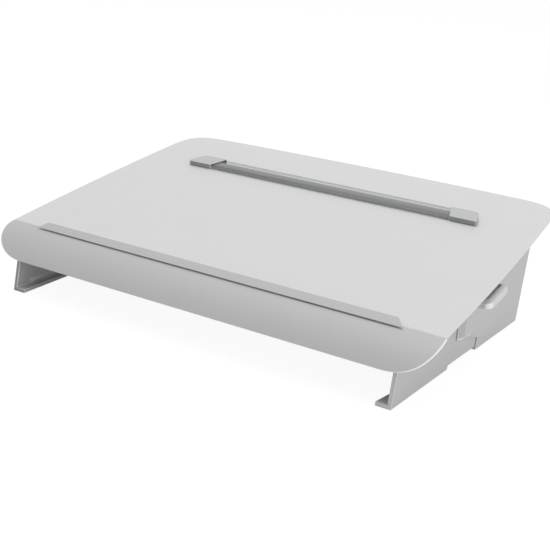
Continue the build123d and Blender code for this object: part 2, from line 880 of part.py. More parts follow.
with BuildPart() as carriage_channel:
    with BuildSketch(Plane.YZ):
        with BuildLine():
            Polyline(
                (channel_front, channel_top),
                (channel_rear, channel_top),
                (channel_rear, channel_low),
                (channel_rear - channel_sheet, channel_low),
                (channel_rear - channel_sheet, channel_top - channel_sheet),
                (channel_front + channel_sheet, channel_top - channel_sheet),
                (channel_front + channel_sheet, channel_low),
                (channel_front, channel_low),
                close=True,
            )
        make_face()
    extrude(amount=arm_plate_x, both=True)
    for side in (-1, 1):
        near = side * (arm_plate_x - 2.0)
        far = side * arm_plate_x
        low = (min(near, far), channel_front + 1.0, channel_low)
        block(low, (max(near, far), channel_rear - 1.0, channel_top - 1.0))
        bore_x([(near, crease_y + y, channel_screw_z) for y in channel_screw_rows], screw_radius, 8.0)
save(carriage_channel, "carriage_channel")

with BuildPart() as channel_screws:
    for side in (-1, 1):
        for y in channel_screw_rows:
            seat = side * (arm_plate_x + arm_plate)
            screw_x(side * (arm_plate_x - 4.0), seat, crease_y + y, channel_screw_z)
save(channel_screws, "channel_screws")

# Racks: the stay's tip drops into one of three notches
notch_rows = (224.2, 217.5, 207.1)
notch_top = 75.9
rack_wide = 12.0
with BuildPart() as rack:
    with BuildSketch(Plane.YZ.offset(stay_x - rack_wide / 2)):
        with BuildLine():
            Polyline(
                (channel_front + 3.0, channel_top),
                (channel_rear - 1.0, channel_top),
                (channel_rear - 1.0, notch_top + 2.0),
                (crease_y + notch_rows[0] + 3.2, notch_top),
                (channel_front + 8.0, notch_top),
                close=True,
            )
        make_face()
        with Locations(*[(crease_y + y, notch_top) for y in notch_rows]):
            Circle(stay_radius + 0.4, mode=Mode.SUBTRACT)
    extrude(amount=rack_wide)
save_pair(rack, "notch_rack")

with BuildPart() as glide_blocks:
    for side in (-1, 1):
        for y in block_rows:
            near = side * (arm_plate_x + arm_plate)
            far = side * (side_inner - rail_sheet - screw_head - 0.5)
            with Locations(((near + far) / 2, crease_y + y, rail_floor + rail_height / 2)):
                Box(abs(far - near), block_long, rail_height - 2 * rail_sheet - block_play)
save(glide_blocks, "glide_blocks")

with BuildPart() as deck_bumpers:
    for side in (-1, 1):
        with Locations((side * (rib_x - rib_plate / 2), bumper_y, (bumper_tab + bumper_top) / 2)):
            Cylinder(bumper_radius, bumper_top - bumper_tab)
save(deck_bumpers, "deck_bumpers")

# ---------------------------------------------------------------- tilt stay

tip_y = stay_y + stay_length * cos(radians(stay_drop))
tip_z = stay_z - stay_length * sin(radians(stay_drop))
pivot_x = rib_x + 3.0
with BuildPart() as tilt_stay:
    with BuildLine() as stay_path:
        FilletPolyline(
            (-pivot_x, stay_y, stay_z),
            (-stay_x, stay_y, stay_z),
            (-stay_x, tip_y, tip_z),
            (stay_x, tip_y, tip_z),
            (stay_x, stay_y, stay_z),
            (pivot_x, stay_y, stay_z),
            radius=4.0,
        )
    with BuildSketch(Plane(origin=stay_path.line @ 0, z_dir=stay_path.line % 0)):
        Circle(stay_radius)
    sweep()
save(tilt_stay, "tilt_stay")

# ---------------------------------------------------------------- drawer

front_thick = 2.5
front_low = 5.0
front_top = drawer_top + 1.0
front_half = drawer_half + 4.0
pull_wide = 90.0
pull_high = 16.0
tray_front = drawer_front_y + front_thick
tray_middle = (tray_front + drawer_back_y) / 2
tray_deep = drawer_back_y - tray_front - 2 * drawer_wall

with BuildPart() as drawer_tray:
    block((-drawer_half, tray_front, drawer_floor), (drawer_half, drawer_back_y, drawer_top))
    with BuildSketch(Plane.XY.offset(drawer_floor + drawer_wall)) as tray_hollow:
        with Locations((0, tray_middle)):
            Rectangle(2 * (drawer_half - drawer_wall), tray_deep)
        fillet(tray_hollow.vertices(), 6.0)
    extrude(amount=drawer_top, mode=Mode.SUBTRACT)
    for side in (-1, 1):
        near = side * (drawer_half - 0.5)
        far = side * (drawer_half + lip_reach)
        low = (min(near, far), tray_front, lip_z)
        high = (max(near, far), drawer_back_y, lip_z + drawer_wall)
        block(low, high)
save(drawer_tray, "drawer_tray")

with BuildPart() as drawer_front:
    with BuildSketch(Plane.XZ.offset(-drawer_front_y)) as front_face:
        with Locations((0, (front_low + front_top) / 2)):
            Rectangle(2 * front_half, front_top - front_low)
        fillet(front_face.vertices(), 3.0)
        with Locations((0, front_top)):
            SlotOverall(pull_wide, pull_high, mode=Mode.SUBTRACT)
    extrude(amount=-front_thick)
save(drawer_front, "drawer_front")

with BuildPart() as drawer_divider:
    divider_z = drawer_floor + drawer_wall
    divider_top = drawer_top - 3.0
    divider_half = 0.8
    spine_half = tray_deep / 2 - 0.2
    cross_half = drawer_half - drawer_wall - 0.2
    divider_low = (-divider_half, tray_middle - spine_half, divider_z)
    block(divider_low, (divider_half, tray_middle + spine_half, divider_top))
    cross_low = (-cross_half, tray_middle - divider_half, divider_z)
    block(cross_low, (cross_half, tray_middle + divider_half, divider_top))
save(drawer_divider, "drawer_divider")
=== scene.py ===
"""Sloped document holder with a drawer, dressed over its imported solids.

The solids give every place and size. This script softens the edges that show, models the
curved front apron, the side grips, the line guide's strip and bar, the screws and the feet
afresh, gives each piece its finish, and sets up a plain pale studio with the camera at the
photograph's angle. Lengths are in millimetres until they go into a mesh.
"""

import logging
from dataclasses import dataclass, field
from enum import Enum
from math import asin, cos, hypot, pi, radians, sin
from typing import Any, Callable, Iterable, Optional, Sequence

import bmesh
import bpy
from mathutils import Matrix, Vector


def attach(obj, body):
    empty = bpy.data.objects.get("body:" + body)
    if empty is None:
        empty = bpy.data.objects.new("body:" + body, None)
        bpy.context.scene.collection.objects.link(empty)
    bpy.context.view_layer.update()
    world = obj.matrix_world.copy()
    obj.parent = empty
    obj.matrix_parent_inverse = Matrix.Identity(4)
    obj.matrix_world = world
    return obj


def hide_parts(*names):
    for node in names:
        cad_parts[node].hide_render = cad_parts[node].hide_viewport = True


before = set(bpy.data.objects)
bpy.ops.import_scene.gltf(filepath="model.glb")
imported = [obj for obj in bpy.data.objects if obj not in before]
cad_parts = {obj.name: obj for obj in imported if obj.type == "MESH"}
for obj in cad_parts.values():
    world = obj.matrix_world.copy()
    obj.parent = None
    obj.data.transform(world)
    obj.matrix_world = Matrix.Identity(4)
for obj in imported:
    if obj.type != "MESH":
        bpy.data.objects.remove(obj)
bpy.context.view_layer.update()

log = logging.getLogger("document_holder")

MM = 0.001
# Points of a mesh that are nearer than this are one point, in millimetres.
WELD = 0.002


@dataclass(frozen=True)
class DeckLine:
    """The deck's plane: the crease that it rises from, and its slope."""

    crease_y: float = -134.92
    crease_z: float = 64.5
    tilt: float = 10.74

    def place(self, side: int = 1) -> Matrix:
        """Give the move from the deck's own axes, in millimetres, to the place, in metres.

        Args:
            side: 1 for the right-hand side and -1 for its mirror image.

        Returns:
            The move as one matrix.
        """
        return (
            Matrix.Translation((0.0, self.crease_y * MM, self.crease_z * MM))
            @ Matrix.Rotation(radians(self.tilt), 4, "X")
            @ Matrix.Diagonal((side * MM, MM, MM, 1.0))
        )


# ---------------- colours and nodes


class Tone(Enum):
    """The object's own colours, and the painted light and shade laid on some pieces, as sRGB hex values.
    """

    LIGHT_GREY = "#dadada"
    MID_GREY = "#c1c1c1"
    SIDE_GREY = "#c3c3c3"
    SILVER_GREY = "#bcbdbe"
    # Painted shade for the caps' flat steep sides.
    CAP_SIDE_PAINTED_SHADE = "#8e9091"
    # Painted shade for the left bracket's ends that face the user.
    NEAR_END_PAINTED_SHADE = "#969696"
    # Painted light: the grips' tone lifted above the base's.
    GRIP_GREY_PAINTED_LIGHT = "#d6d6d6"
    # Painted light for the right bracket's ends that face the user.
    RIGHT_NEAR_END_PAINTED_LIGHT = "#c6c6c6"
    # The next two are painted highlights for rounded edges.
    PALE_PAINTED_HIGHLIGHT = "#dedede"
    WHITE_PAINTED_HIGHLIGHT = "#f6f6f6"
    STEEL_GREY = "#a9abac"
    ZINC = "#c4c6c8"
    NICKEL = "#cfcfce"
    GRAPHITE = "#2f3031"
    FELT_GREY = "#5b5c5e"
    RUBBER_BLACK = "#262626"
    TRAY_GREY = "#a3a4a4"
    # Painted shade on the clear carrier, darkest just behind the bar.
    CLEAR_PAINTED_SHADE = "#8c8f91"
    CLEAR_BACK = "#b4b6b8"
    # Painted shade on the clear carrier's cut edges towards the rear.
    CLEAR_EDGE_PAINTED_SHADE = "#5f6365"
    # The smoke tones grade from painted shade at the bar's front to painted light at its back.
    SMOKE_FRONT_PAINTED_SHADE = "#5e6163"
    SMOKE_MIDDLE = "#747779"
    SMOKE_BACK_PAINTED_LIGHT = "#8a8c8e"
    FLOOR_WHITE = "#f7f7f7"
    WHITE = "#ffffff"


class Turn(Enum):
    """Which way a row of screws points."""

    ACROSS = 0
    ALONG = 1
    UPRIGHT = 2


def linear(tone: Tone) -> tuple[float, float, float, float]:
    """Turn an sRGB hex value into the linear colour that a shader takes.

    Args:
        tone: The colour, one of the object's own.

    Returns:
        Red, green, blue and an alpha of 1, in linear light.
    """
    text = tone.value.lstrip("#")
    parts = [int(text[place : place + 2], 16) / 255.0 for place in (0, 2, 4)]
    made = [part / 12.92 if part <= 0.04045 else ((part + 0.055) / 1.055) ** 2.4 for part in parts]
    return (made[0], made[1], made[2], 1.0)


def add_node(
    tree: bpy.types.NodeTree,
    kind: str,
    sockets: Optional[dict[str, Any]] = None,
    **settings: Any,
) -> bpy.types.Node:
    """Add one node with its settings, its values and its links.

    Args:
        tree: The node tree that takes the node.
        kind: Blender's name for the node's type.
        sockets: Values by input name or index; a value that is a socket is linked.
        **settings: The node's own properties.

    Returns:
        The new node.
    """
    node = tree.nodes.new(kind)
    for name, value in settings.items():
        setattr(node, name, value)
    for name, value in (sockets or {}).items():
        if isinstance(value, bpy.types.NodeSocket):
            tree.links.new(value, node.inputs[name])
        else:
            node.inputs[name].default_value = value
    return node


def empty_material(name: str) -> bpy.types.Material:
    """Make a material with no nodes yet.

    Args:
        name: The material's name.

    Returns:
        The new material.
    """
    made = bpy.data.materials.new(name)
    made.use_nodes = True
    made.node_tree.nodes.clear()
    return made


# ---------------- finishes


@dataclass(frozen=True)
class Finish:
    """A surface: what it is made of, its colour, and the grain that its making left.

    The grain is a fine bump, and a much broader and fainter cloud varies the tone and the
    roughness, as on any real coated or moulded surface.
    """

    name: str
    tone: Tone
    roughness: float = 0.5
    roughness_play: float = 0.04
    metallic: float = 0.0
    grain_mm: float = 0.9
    grain_depth_mm: float = 0.01
    cloud_mm: float = 60.0
    cloud_share: float = 0.02
    sheen: float = 0.0
    ior: float = 1.5
    streak: tuple[float, float, float] = (1.0, 1.0, 1.0)

    def _noise(self, tree: bpy.types.NodeTree, size_mm: float, detail: float) -> bpy.types.Node:
        """Add a noise on the object's own coordinates.

        Args:
            tree: The node tree that takes the noise.
            size_mm: How far across one of its features is.
            detail: How many finer layers it has.

        Returns:
            The noise's node.
        """
        place = add_node(tree, "ShaderNodeTexCoord")
        turned = add_node(
            tree,
            "ShaderNodeMapping",
            {"Vector": place.outputs["Object"], "Scale": self.streak},
        )
        return add_node(
            tree,
            "ShaderNodeTexNoise",
            {"Vector": turned.outputs[0], "Scale": 1.0 / (size_mm * MM), "Detail": detail},
        )

    def material(self) -> bpy.types.Material:
        """Make the material, once for each finish.

        Returns:
            The material, shared by every piece with this finish.
        """
        known = bpy.data.materials.get(self.name)
        if known is not None:
            return known
        made = empty_material(self.name)
        tree = made.node_tree
        colour = linear(self.tone)
        cloud = self._noise(tree, self.cloud_mm, 3.0)
        grain = self._noise(tree, self.grain_mm, 2.0)
        low = tuple(part * (1.0 - self.cloud_share) for part in colour[:3]) + (1.0,)
        high = tuple(min(1.0, part * (1.0 + self.cloud_share)) for part in colour[:3]) + (1.0,)
        tint = add_node(
            tree,
            "ShaderNodeMix",
            {0: cloud.outputs[0], 6: low, 7: high},
            data_type="RGBA",
        )
        rough = add_node(
            tree,
            "ShaderNodeMapRange",
            {
                "Value": cloud.outputs[0],
                "To Min": max(0.0, self.roughness - self.roughness_play),
                "To Max": self.roughness + self.roughness_play,
            },
        )
        bump = add_node(
            tree,
            "ShaderNodeBump",
            {"Strength": 0.6, "Distance": self.grain_depth_mm * MM, "Height": grain.outputs[0]},
        )
        shader = add_node(
            tree,
            "ShaderNodeBsdfPrincipled",
            {
                "Base Color": tint.outputs[2],
                "Roughness": rough.outputs[0],
                "Normal": bump.outputs[0],
                "Metallic": self.metallic,
                "IOR": self.ior,
                "Sheen Weight": self.sheen,
            },
        )
        add_node(tree, "ShaderNodeOutputMaterial", {"Surface": shader.outputs[0]})
        return made


# Polyester powder coat on steel sheet: satin, with a very fine orange peel that only softens
# the reflections. The peel is really about 0.5 mm across and is drawn at 1.2 mm to show.
POWDER_COAT = Finish(
    "powder_coat_satin", Tone.LIGHT_GREY, roughness=0.46, grain_mm=1.2, grain_depth_mm=0.008
)
# ABS moulded in a spark-eroded tool: an even, matt, slightly darker skin with no direction.
ABS_MATT = Finish("abs_spark_matt", Tone.MID_GREY, roughness=0.52, grain_depth_mm=0.012)
ABS_SIDE = Finish("abs_spark_side", Tone.SIDE_GREY, roughness=0.5, grain_depth_mm=0.012)
# ABS with a silver pigment, moulded smooth: the two caps of the line guide.
ABS_SILVER = Finish(
    "abs_silver_satin", Tone.SILVER_GREY, roughness=0.36, metallic=0.15, grain_mm=0.7, grain_depth_mm=0.006
)
# Powder-coated mild steel pressings under the deck, a tone darker and a little rougher.
COATED_PRESSING = Finish(
    "coated_pressing", Tone.STEEL_GREY, roughness=0.48, grain_mm=1.2, grain_depth_mm=0.012
)
# Zinc-plated steel: bright, with the fine drawn lines of rod and wire running along it.
ZINC_PLATE = Finish(
    "zinc_plate",
    Tone.ZINC,
    roughness=0.3,
    metallic=1.0,
    grain_mm=0.6,
    grain_depth_mm=0.004,
    streak=(0.05, 1.0, 1.0),
)
# Nickel plate on the magnets: a bright and faintly warm gloss.
NICKEL_PLATE = Finish(
    "nickel_plate", Tone.NICKEL, roughness=0.22, metallic=1.0, grain_mm=0.8, grain_depth_mm=0.002
)
# Acetal: dense black, with the low gloss of a machined or moulded bearing plastic.
ACETAL = Finish("acetal_black", Tone.GRAPHITE, roughness=0.38, grain_mm=0.6, grain_depth_mm=0.006)
# Needled felt: no gloss, a nap that catches light at grazing angles, fibres about 0.3 mm apart.
FELT = Finish(
    "needled_felt",
    Tone.FELT_GREY,
    roughness=0.95,
    grain_mm=0.35,
    grain_depth_mm=0.12,
    cloud_mm=4.0,
    cloud_share=0.18,
    sheen=0.6,
)
# Nitrile rubber, matt from its mould.
RUBBER = Finish("nitrile_rubber", Tone.RUBBER_BLACK, roughness=0.82, grain_mm=0.5, grain_depth_mm=0.03)
# Polystyrene tray with a coarser leather-like etch on the floor and walls.
TRAY_ETCH = Finish(
    "polystyrene_etched", Tone.TRAY_GREY, roughness=0.56, grain_mm=1.4, grain_depth_mm=0.03
)
# The caps' steep flat sides carry painted shade: a darker grey than their tops, where less light falls.
ABS_CAP_SIDE_PAINTED_SHADE = Finish("abs_cap_side_painted_shade", Tone.CAP_SIDE_PAINTED_SHADE, roughness=0.5, grain_mm=0.7)
# Painted shade on the left bracket's ends that face the user, darker than its skin, and painted light on
# the right bracket's ends.
ABS_NEAR_END_PAINTED_SHADE = Finish("abs_near_end_painted_shade", Tone.NEAR_END_PAINTED_SHADE, roughness=0.55)
ABS_RIGHT_NEAR_END_PAINTED_LIGHT = Finish("abs_right_near_end_painted_light", Tone.RIGHT_NEAR_END_PAINTED_LIGHT, roughness=0.5)
# The same ABS with painted highlights: pale and white lines on rounded edges that turn toward the light.
ABS_PALE_PAINTED_HIGHLIGHT = Finish("abs_pale_painted_highlight", Tone.PALE_PAINTED_HIGHLIGHT, roughness=0.4)
ABS_WHITE_PAINTED_HIGHLIGHT = Finish("abs_white_painted_highlight", Tone.WHITE_PAINTED_HIGHLIGHT, roughness=0.3)
# The grips take a tone lighter than the base, painted light that lifts the shade under the deck's edge,
# and are smoother where a hand holds them.
ABS_GRIP_PAINTED_LIGHT = Finish("abs_grip_painted_light", Tone.GRIP_GREY_PAINTED_LIGHT, roughness=0.42, grain_depth_mm=0.008)


@dataclass(frozen=True)
class Acrylic:
    """Cast acrylic, polished: a colour and an opacity that change across the slope; the colour's changes
    are painted light and shade.

    Acrylic is drawn by its opacity, so that the deck shows through it as it does through a thin
    clear strip. Each stop is a place up the slope in millimetres from the crease, the colour
    there and the opacity there.
    """

    name: str
    stops: tuple[tuple[float, Tone, float], ...]
    roughness: float = 0.08
    ior: float = 1.49
    line: DeckLine = DeckLine()

    def material(self) -> bpy.types.Material:
        """Make the material, once for each finish.

        Returns:
            The material, shared by every piece with this finish.
        """
        known = bpy.data.materials.get(self.name)
        if known is not None:
            return known
        made = empty_material(self.name)
        tree = made.node_tree
        first, last = self.stops[0][0], self.stops[-1][0]
        tilt = radians(self.line.tilt)
        place = add_node(tree, "ShaderNodeTexCoord")
        slope = add_node(
            tree,
            "ShaderNodeVectorMath",
            {0: place.outputs["Object"], 1: (0.0, cos(tilt), sin(tilt))},
            operation="DOT_PRODUCT",
        )
        offset = self.line.crease_y * cos(tilt) + self.line.crease_z * sin(tilt)
        share = add_node(
            tree,
            "ShaderNodeMapRange",
            {
                "Value": slope.outputs["Value"],
                "From Min": (offset + first) * MM,
                "From Max": (offset + last) * MM,
            },
        )
        ramps = []
        for opaque in (False, True):
            ramp = add_node(tree, "ShaderNodeValToRGB", {0: share.outputs[0]})
            points = ramp.color_ramp.elements
            while len(points) < len(self.stops):
                points.new(0.5)
            for point, (along, tone, cover) in zip(points, self.stops):
                point.position = (along - first) / (last - first)
                point.color = (cover, cover, cover, 1.0) if opaque else linear(tone)
            ramps.append(ramp)
        shader = add_node(
            tree,
            "ShaderNodeBsdfPrincipled",
            {
                "Base Color": ramps[0].outputs[0],
                "Alpha": ramps[1].outputs[0],
                "Roughness": self.roughness,
                "IOR": self.ior,
            },
        )
        add_node(tree, "ShaderNodeOutputMaterial", {"Surface": shader.outputs[0]})
        return made


# The clear carrier: a light veil over the deck. Its cut edges are what the eye sees of it. Its colour
# darkens under the bar to painted shade just behind it, and its cut edges darken towards the rear: painted
# shade too.
ACRYLIC = Acrylic(
    "acrylic_clear",
    (
        (217.0, Tone.CLEAR_BACK, 0.5),
        (218.3, Tone.CLEAR_BACK, 0.4),
        (232.3, Tone.CLEAR_PAINTED_SHADE, 0.3),
        (233.5, Tone.CLEAR_BACK, 0.3),
        (240.5, Tone.CLEAR_BACK, 0.25),
    ),
)
ACRYLIC_EDGE = Acrylic(
    "acrylic_cut_edge",
    ((217.0, Tone.CLEAR_BACK, 0.55), (240.5, Tone.CLEAR_EDGE_PAINTED_SHADE, 0.4)),
    roughness=0.25,
)
# The smoke-tinted bar, with painted shading: painted light at its back, where it catches the light, and
# painted shade at its front, which looks into the dark.
SMOKED_ACRYLIC = Acrylic(
    "acrylic_smoke",
    (
        (218.3, Tone.SMOKE_FRONT_PAINTED_SHADE, 0.96),
        (223.0, Tone.SMOKE_MIDDLE, 0.95),
        (232.3, Tone.SMOKE_BACK_PAINTED_LIGHT, 0.94),
    ),
    roughness=0.16,
)
AnyFinish = Finish | Acrylic
Shape = bmesh.types.BMesh
Facet = bpy.types.MeshPolygon


# ---------------- shared mesh work


def sharp_edges(shape: Shape, angle: float) -> list[bmesh.types.BMEdge]:
    """List the edges that are sharper than an angle.

    Args:
        shape: The bmesh to look through.
        angle: How far an edge's two faces may turn before it counts, in degrees.

    Returns:
        The sharp edges.
    """
    paired = [edge for edge in shape.edges if len(edge.link_faces) == 2]
    return [edge for edge in paired if edge.calc_face_angle(0.0) > radians(angle)]


def round_edges(
    shape: Shape, edges: list[bmesh.types.BMEdge], reach: float, segments: int
) -> dict[str, list[Any]]:
    """Round edges with an even profile.

    Args:
        shape: The bmesh to work on.
        edges: The edges to round.
        reach: How far the rounding reaches along each face, in the bmesh's units.
        segments: Number of facets across the rounding.

    Returns:
        The new points, edges and faces, by name.
    """
    return bmesh.ops.bevel(
        shape,
        geom=edges,
        offset=reach,
        offset_type="OFFSET",
        segments=segments,
        profile=0.5,
        affect="EDGES",
        material=-1,
        clamp_overlap=False,
    )


def pull_face(shape: Shape, face: bmesh.types.BMFace) -> list[bmesh.types.BMVert]:
    """Extrude a face in its place and list the new points."""
    pulled = bmesh.ops.extrude_face_region(shape, geom=[face])["geom"]
    return [part for part in pulled if isinstance(part, bmesh.types.BMVert)]


def turn_profile(
    shape: Shape, profile: Sequence[tuple[float, float]], steps: int
) -> None:
    """Turn a profile once round the upright axis through the origin.

    Args:
        shape: The bmesh that takes the turned skin.
        profile: Radius and height of each point, in order.
        steps: Number of facets round the axis.
    """
    verts = [shape.verts.new((radius, 0.0, height)) for radius, height in profile]
    edges = [shape.edges.new(pair) for pair in zip(verts, verts[1:])]
    bmesh.ops.spin(
        shape,
        geom=[*verts, *edges],
        cent=(0.0, 0.0, 0.0),
        axis=(0.0, 0.0, 1.0),
        angle=2.0 * pi,
        steps=steps,
        use_merge=True,
    )


def welded_copy(node: str) -> Shape:
    """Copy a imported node's mesh, with its loose triangles joined at their corners.

    Args:
        node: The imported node's name.

    Returns:
        The copy, in metres.
    """
    copy = bmesh.new()
    copy.from_mesh(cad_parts[node].data)
    bmesh.ops.remove_doubles(copy, verts=copy.verts, dist=WELD * MM)
    return copy


def solids_of(node: str) -> list[list[Vector]]:
    """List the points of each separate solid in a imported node.

    Args:
        node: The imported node's name.

    Returns:
        One list of points for each solid, in metres.
    """
    shape = welded_copy(node)
    shape.verts.index_update()
    seen: set[int] = set()
    found: list[list[Vector]] = []
    for start in shape.verts:
        if start.index in seen:
            continue
        seen.add(start.index)
        queue = [start]
        points: list[Vector] = []
        while queue:
            vert = queue.pop()
            points.append(vert.co.copy())
            for edge in vert.link_edges:
                other = edge.other_vert(vert)
                if other.index not in seen:
                    seen.add(other.index)
                    queue.append(other)
        found.append(points)
    shape.free()
    return found


@dataclass
class Bench:
    """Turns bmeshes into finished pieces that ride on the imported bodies."""

    flat_angle: float = 0.4
    sharp_angle: float = 28.0
    # How far a rounding's face turns to the right, as its normal's share, to take the painted highlight
    # finish.
    painted_highlight_turn: tuple[float, float] = (0.2, 0.97)
    made: list[bpy.types.Object] = field(default_factory=list)

    def piece(
        self,
        name: str,
        shape: Shape,
        finish: AnyFinish,
        body: str,
        slot: str,
        nodes: Sequence[str],
        smooth: float = 40.0,
        weighted: bool = True,
    ) -> bpy.types.Object:
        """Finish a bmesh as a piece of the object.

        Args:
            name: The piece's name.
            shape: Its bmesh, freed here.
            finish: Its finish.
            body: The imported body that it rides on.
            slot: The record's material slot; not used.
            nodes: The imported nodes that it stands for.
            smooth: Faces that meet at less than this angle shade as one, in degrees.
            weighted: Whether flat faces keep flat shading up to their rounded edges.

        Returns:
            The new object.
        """
        mesh = bpy.data.meshes.new(name)
        shape.to_mesh(mesh)
        shape.free()
        mesh.shade_smooth()
        mesh.set_sharp_from_angle(angle=radians(smooth))
        mesh.materials.append(finish.material())
        made = bpy.data.objects.new(name, mesh)
        bpy.context.scene.collection.objects.link(made)
        if weighted:
            modifier = made.modifiers.new("flat_faces", "WEIGHTED_NORMAL")
            modifier.keep_sharp = True
        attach(made, body)
        if nodes:
            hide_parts(*nodes)
        self.made.append(made)
        log.info("piece %s on %s: %d faces", name, body, len(mesh.polygons))
        return made

    def softened_piece(
        self,
        node: str,
        radius: float,
        finish: AnyFinish,
        body: str,
        slot: str,
        segments: int = 3,
        rim: Optional[AnyFinish] = None,
    ) -> bpy.types.Object:
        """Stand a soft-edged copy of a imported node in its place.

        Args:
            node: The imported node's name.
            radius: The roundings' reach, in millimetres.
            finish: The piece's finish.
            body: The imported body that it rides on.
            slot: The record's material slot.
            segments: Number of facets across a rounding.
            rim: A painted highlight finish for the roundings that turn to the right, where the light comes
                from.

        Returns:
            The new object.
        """
        shape = welded_copy(node)
        bmesh.ops.dissolve_limit(
            shape,
            angle_limit=radians(self.flat_angle),
            verts=shape.verts,
            edges=shape.edges,
            use_dissolve_boundaries=False,
        )
        edges = sharp_edges(shape, self.sharp_angle)
        low, high = self.painted_highlight_turn
        for face in round_edges(shape, edges, radius * MM, segments)["faces"]:
            face.normal_update()
            if rim is not None and low < face.normal.x < high:
                face.material_index = 1
        made = self.piece(f"{node}_dressed", shape, finish, body, slot, [node])
        if rim is not None:
            made.data.materials.append(rim.material())
        return made

    def part_finish(
        self,
        piece: bpy.types.Object,
        finish: AnyFinish,
        chosen: Callable[[Facet], bool],
    ) -> None:
        """Give some faces of a piece a finish of their own.

        Args:
            piece: The piece, with its main finish.
            finish: The finish for the chosen faces.
            chosen: Says of a face whether it is one of them.
        """
        place = len(piece.data.materials)
        piece.data.materials.append(finish.material())
        for face in piece.data.polygons:
            if chosen(face):
                face.material_index = place

    def dress(self, finish: Finish, nodes: Iterable[str]) -> None:
        """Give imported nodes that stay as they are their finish.

        Args:
            finish: The finish for all of them.
            nodes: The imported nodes' names.
        """
        for node in nodes:
            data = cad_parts[node].data
            data.materials.clear()
            data.materials.append(finish.material())
            log.info("node %s: %s", node, finish.name)


def both(stem: str) -> list[str]:
    """Name the left and right pieces of a pair."""
    return [f"{stem}_left", f"{stem}_right"]


# ---------------- deck


@dataclass
class Apron:
    """The curved front apron: one arc from the crease down, with round lower corners."""

    line: DeckLine = DeckLine()
    half_width: float = 247.42
    flare: float = 10.0
    corner: float = 49.0
    bend: float = 45.8
    start: float = 13.0
    end: float = 71.0
    thick: float = 2.4
    rim: float = 0.6
    rim_angle: float = 50.0
    outer_skin: float = 0.01
    inner_skin: float = 0.1
    tongue: float = 22.0
    tongue_thick: float = 2.2
    tongue_inset: float = 6.0
    tongue_lap: float = 0.5
    tongue_gap: float = 0.02
    sheet: float = 1.2
    rows: int = 40
    columns: int = 96

    @property
    def centre(self) -> tuple[float, float]:
        """The (y, z) of the axis that the apron is bent round."""
        start = radians(self.start)
        return (
            self.line.crease_y + self.bend * sin(start),
            self.line.crease_z - self.bend * cos(start),
        )

    def _row(self, share: float) -> tuple[float, float]:
        """Give a row's distance down the arc and its half width.

        Args:
            share: 0 at the crease and 1 at the lower rim.

        Returns:
            The distance and the half width, in millimetres.
        """
        length = self.bend * radians(self.end - self.start)
        first = asin((self.corner - length) / self.corner)
        swing = first + (pi / 2 - first) * share
        along = length - self.corner + self.corner * sin(swing)
        across = self.half_width + self.flare * along / length - self.corner * (1.0 - cos(swing))
        return along, across

    def shell(self) -> Shape:
        """Bend a flat grid into the apron's outer face, then give it its wall and round rim.

        Returns:
            The shell in its place, in metres.
        """
        shape = bmesh.new()
        bmesh.ops.create_grid(shape, x_segments=self.columns, y_segments=self.rows, size=1.0)
        centre_y, centre_z = self.centre
        for vert in shape.verts:
            along, across = self._row((1.0 - vert.co.y) / 2.0)
            turn = radians(self.start) + along / self.bend
            vert.co = Vector(
                (
                    vert.co.x * across,
                    centre_y - self.bend * sin(turn),
                    centre_z + self.bend * cos(turn),
                )
            )
        bmesh.ops.recalc_face_normals(shape, faces=shape.faces)
        top = max(shape.faces, key=lambda face: face.calc_center_median().z)
        if top.normal.z < 0.0:
            bmesh.ops.reverse_faces(shape, faces=shape.faces)
        bmesh.ops.scale(shape, vec=(MM, MM, MM), verts=shape.verts)
        bmesh.ops.solidify(shape, geom=shape.faces[:], thickness=self.thick * MM)
        bmesh.ops.recalc_face_normals(shape, faces=shape.faces)
        round_edges(shape, sharp_edges(shape, self.rim_angle), self.rim * MM, 4)
        return shape

    def is_rim(self, face: Facet) -> bool:
        """Say whether a face is part of the apron's rounded rim, between its two skins."""
        reach = hypot(face.center.y / MM - self.centre[0], face.center.z / MM - self.centre[1])
        return self.bend - self.thick + self.inner_skin < reach < self.bend - self.outer_skin

    def add_tongue(self, shape: Shape) -> None:
        """Add the flat tongue that runs up under the deck's sheet.

        Args:
            shape: The apron's bmesh, in metres.
        """
        wide, deep = 2.0 * (self.half_width - self.tongue_inset), self.tongue
        made = bmesh.ops.create_cube(shape, size=1.0)["verts"]
        bmesh.ops.scale(shape, vec=(wide, deep, self.tongue_thick), verts=made)
        rear = [
            edge
            for edge in shape.edges
            if all(vert in made for vert in edge.verts)
            and all(vert.co.y > 0.0 for vert in edge.verts)
            and abs(edge.verts[0].co.z - edge.verts[1].co.z) > 1.0
        ]
        rounded = round_edges(shape, rear, self.tongue_inset, 6)
        verts = list({vert for vert in [*made, *rounded["verts"]] if vert.is_valid})
        lift = -self.sheet - self.tongue_thick / 2.0 - self.tongue_gap
        place = self.line.place() @ Matrix.Translation((0.0, deep / 2.0 - self.tongue_lap, lift))
        bmesh.ops.transform(shape, matrix=place, verts=verts)


